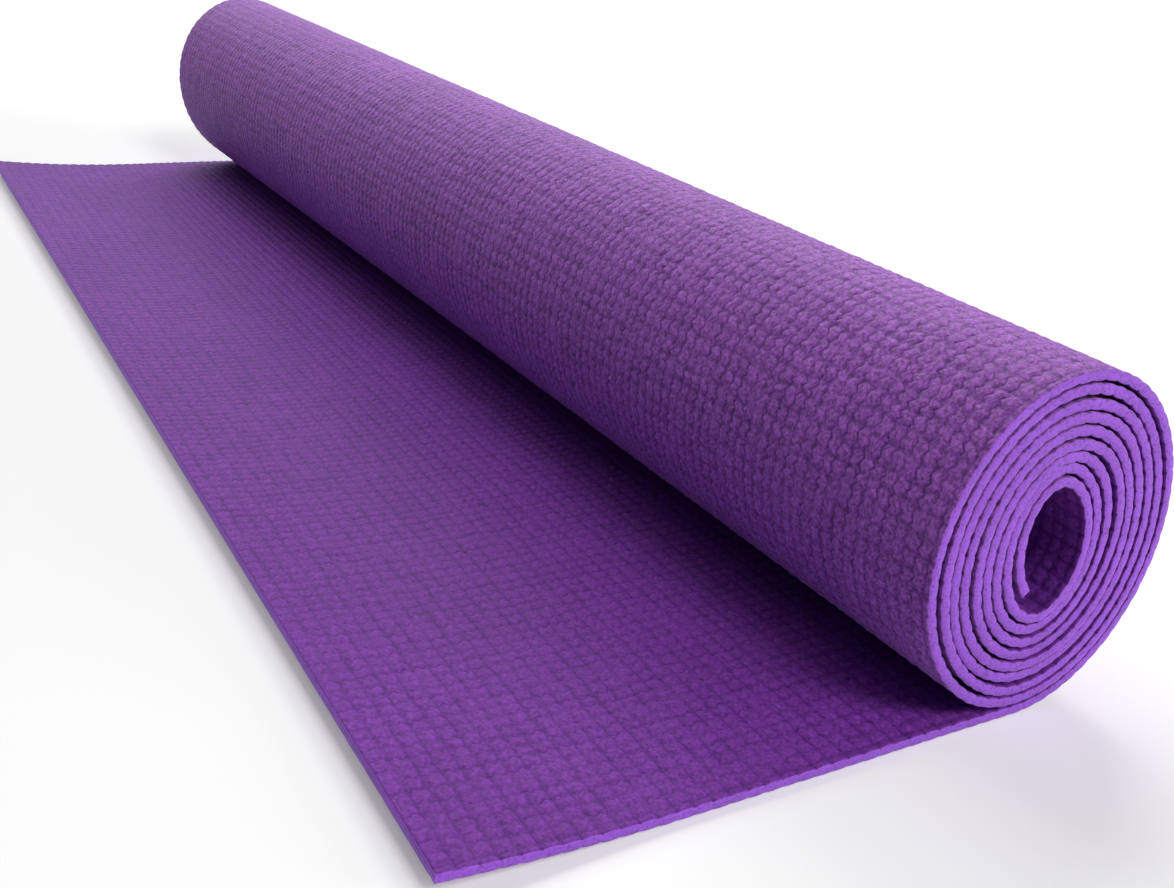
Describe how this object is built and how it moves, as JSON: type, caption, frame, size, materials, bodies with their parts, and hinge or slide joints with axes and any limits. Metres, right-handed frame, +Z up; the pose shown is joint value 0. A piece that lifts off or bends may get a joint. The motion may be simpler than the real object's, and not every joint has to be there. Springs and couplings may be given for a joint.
{
  "type": "yoga mat",
  "caption": "Thin embossed foam exercise mat, rolled up around an open oval core with a short free end lying flat on the floor.",
  "frame": {"origin": "on the floor, under the middle of the whole mat", "axes": "+X from the free end towards the roll, +Y along the roll towards its far end, +Z up"},
  "size_m": [0.2012, 0.61, 0.0941],
  "materials": {
    "floor_side_foam": "matt, embossed with small pillows",
    "reinforcing_scrim": "open polyester mesh",
    "user_side_foam": "matt, embossed with small pillows"
  },
  "bodies": {
    "root": {"floor_side_foam": "floor_side_foam", "reinforcing_scrim": "reinforcing_scrim", "user_side_foam": "user_side_foam"}
  },
  "joints": []
}
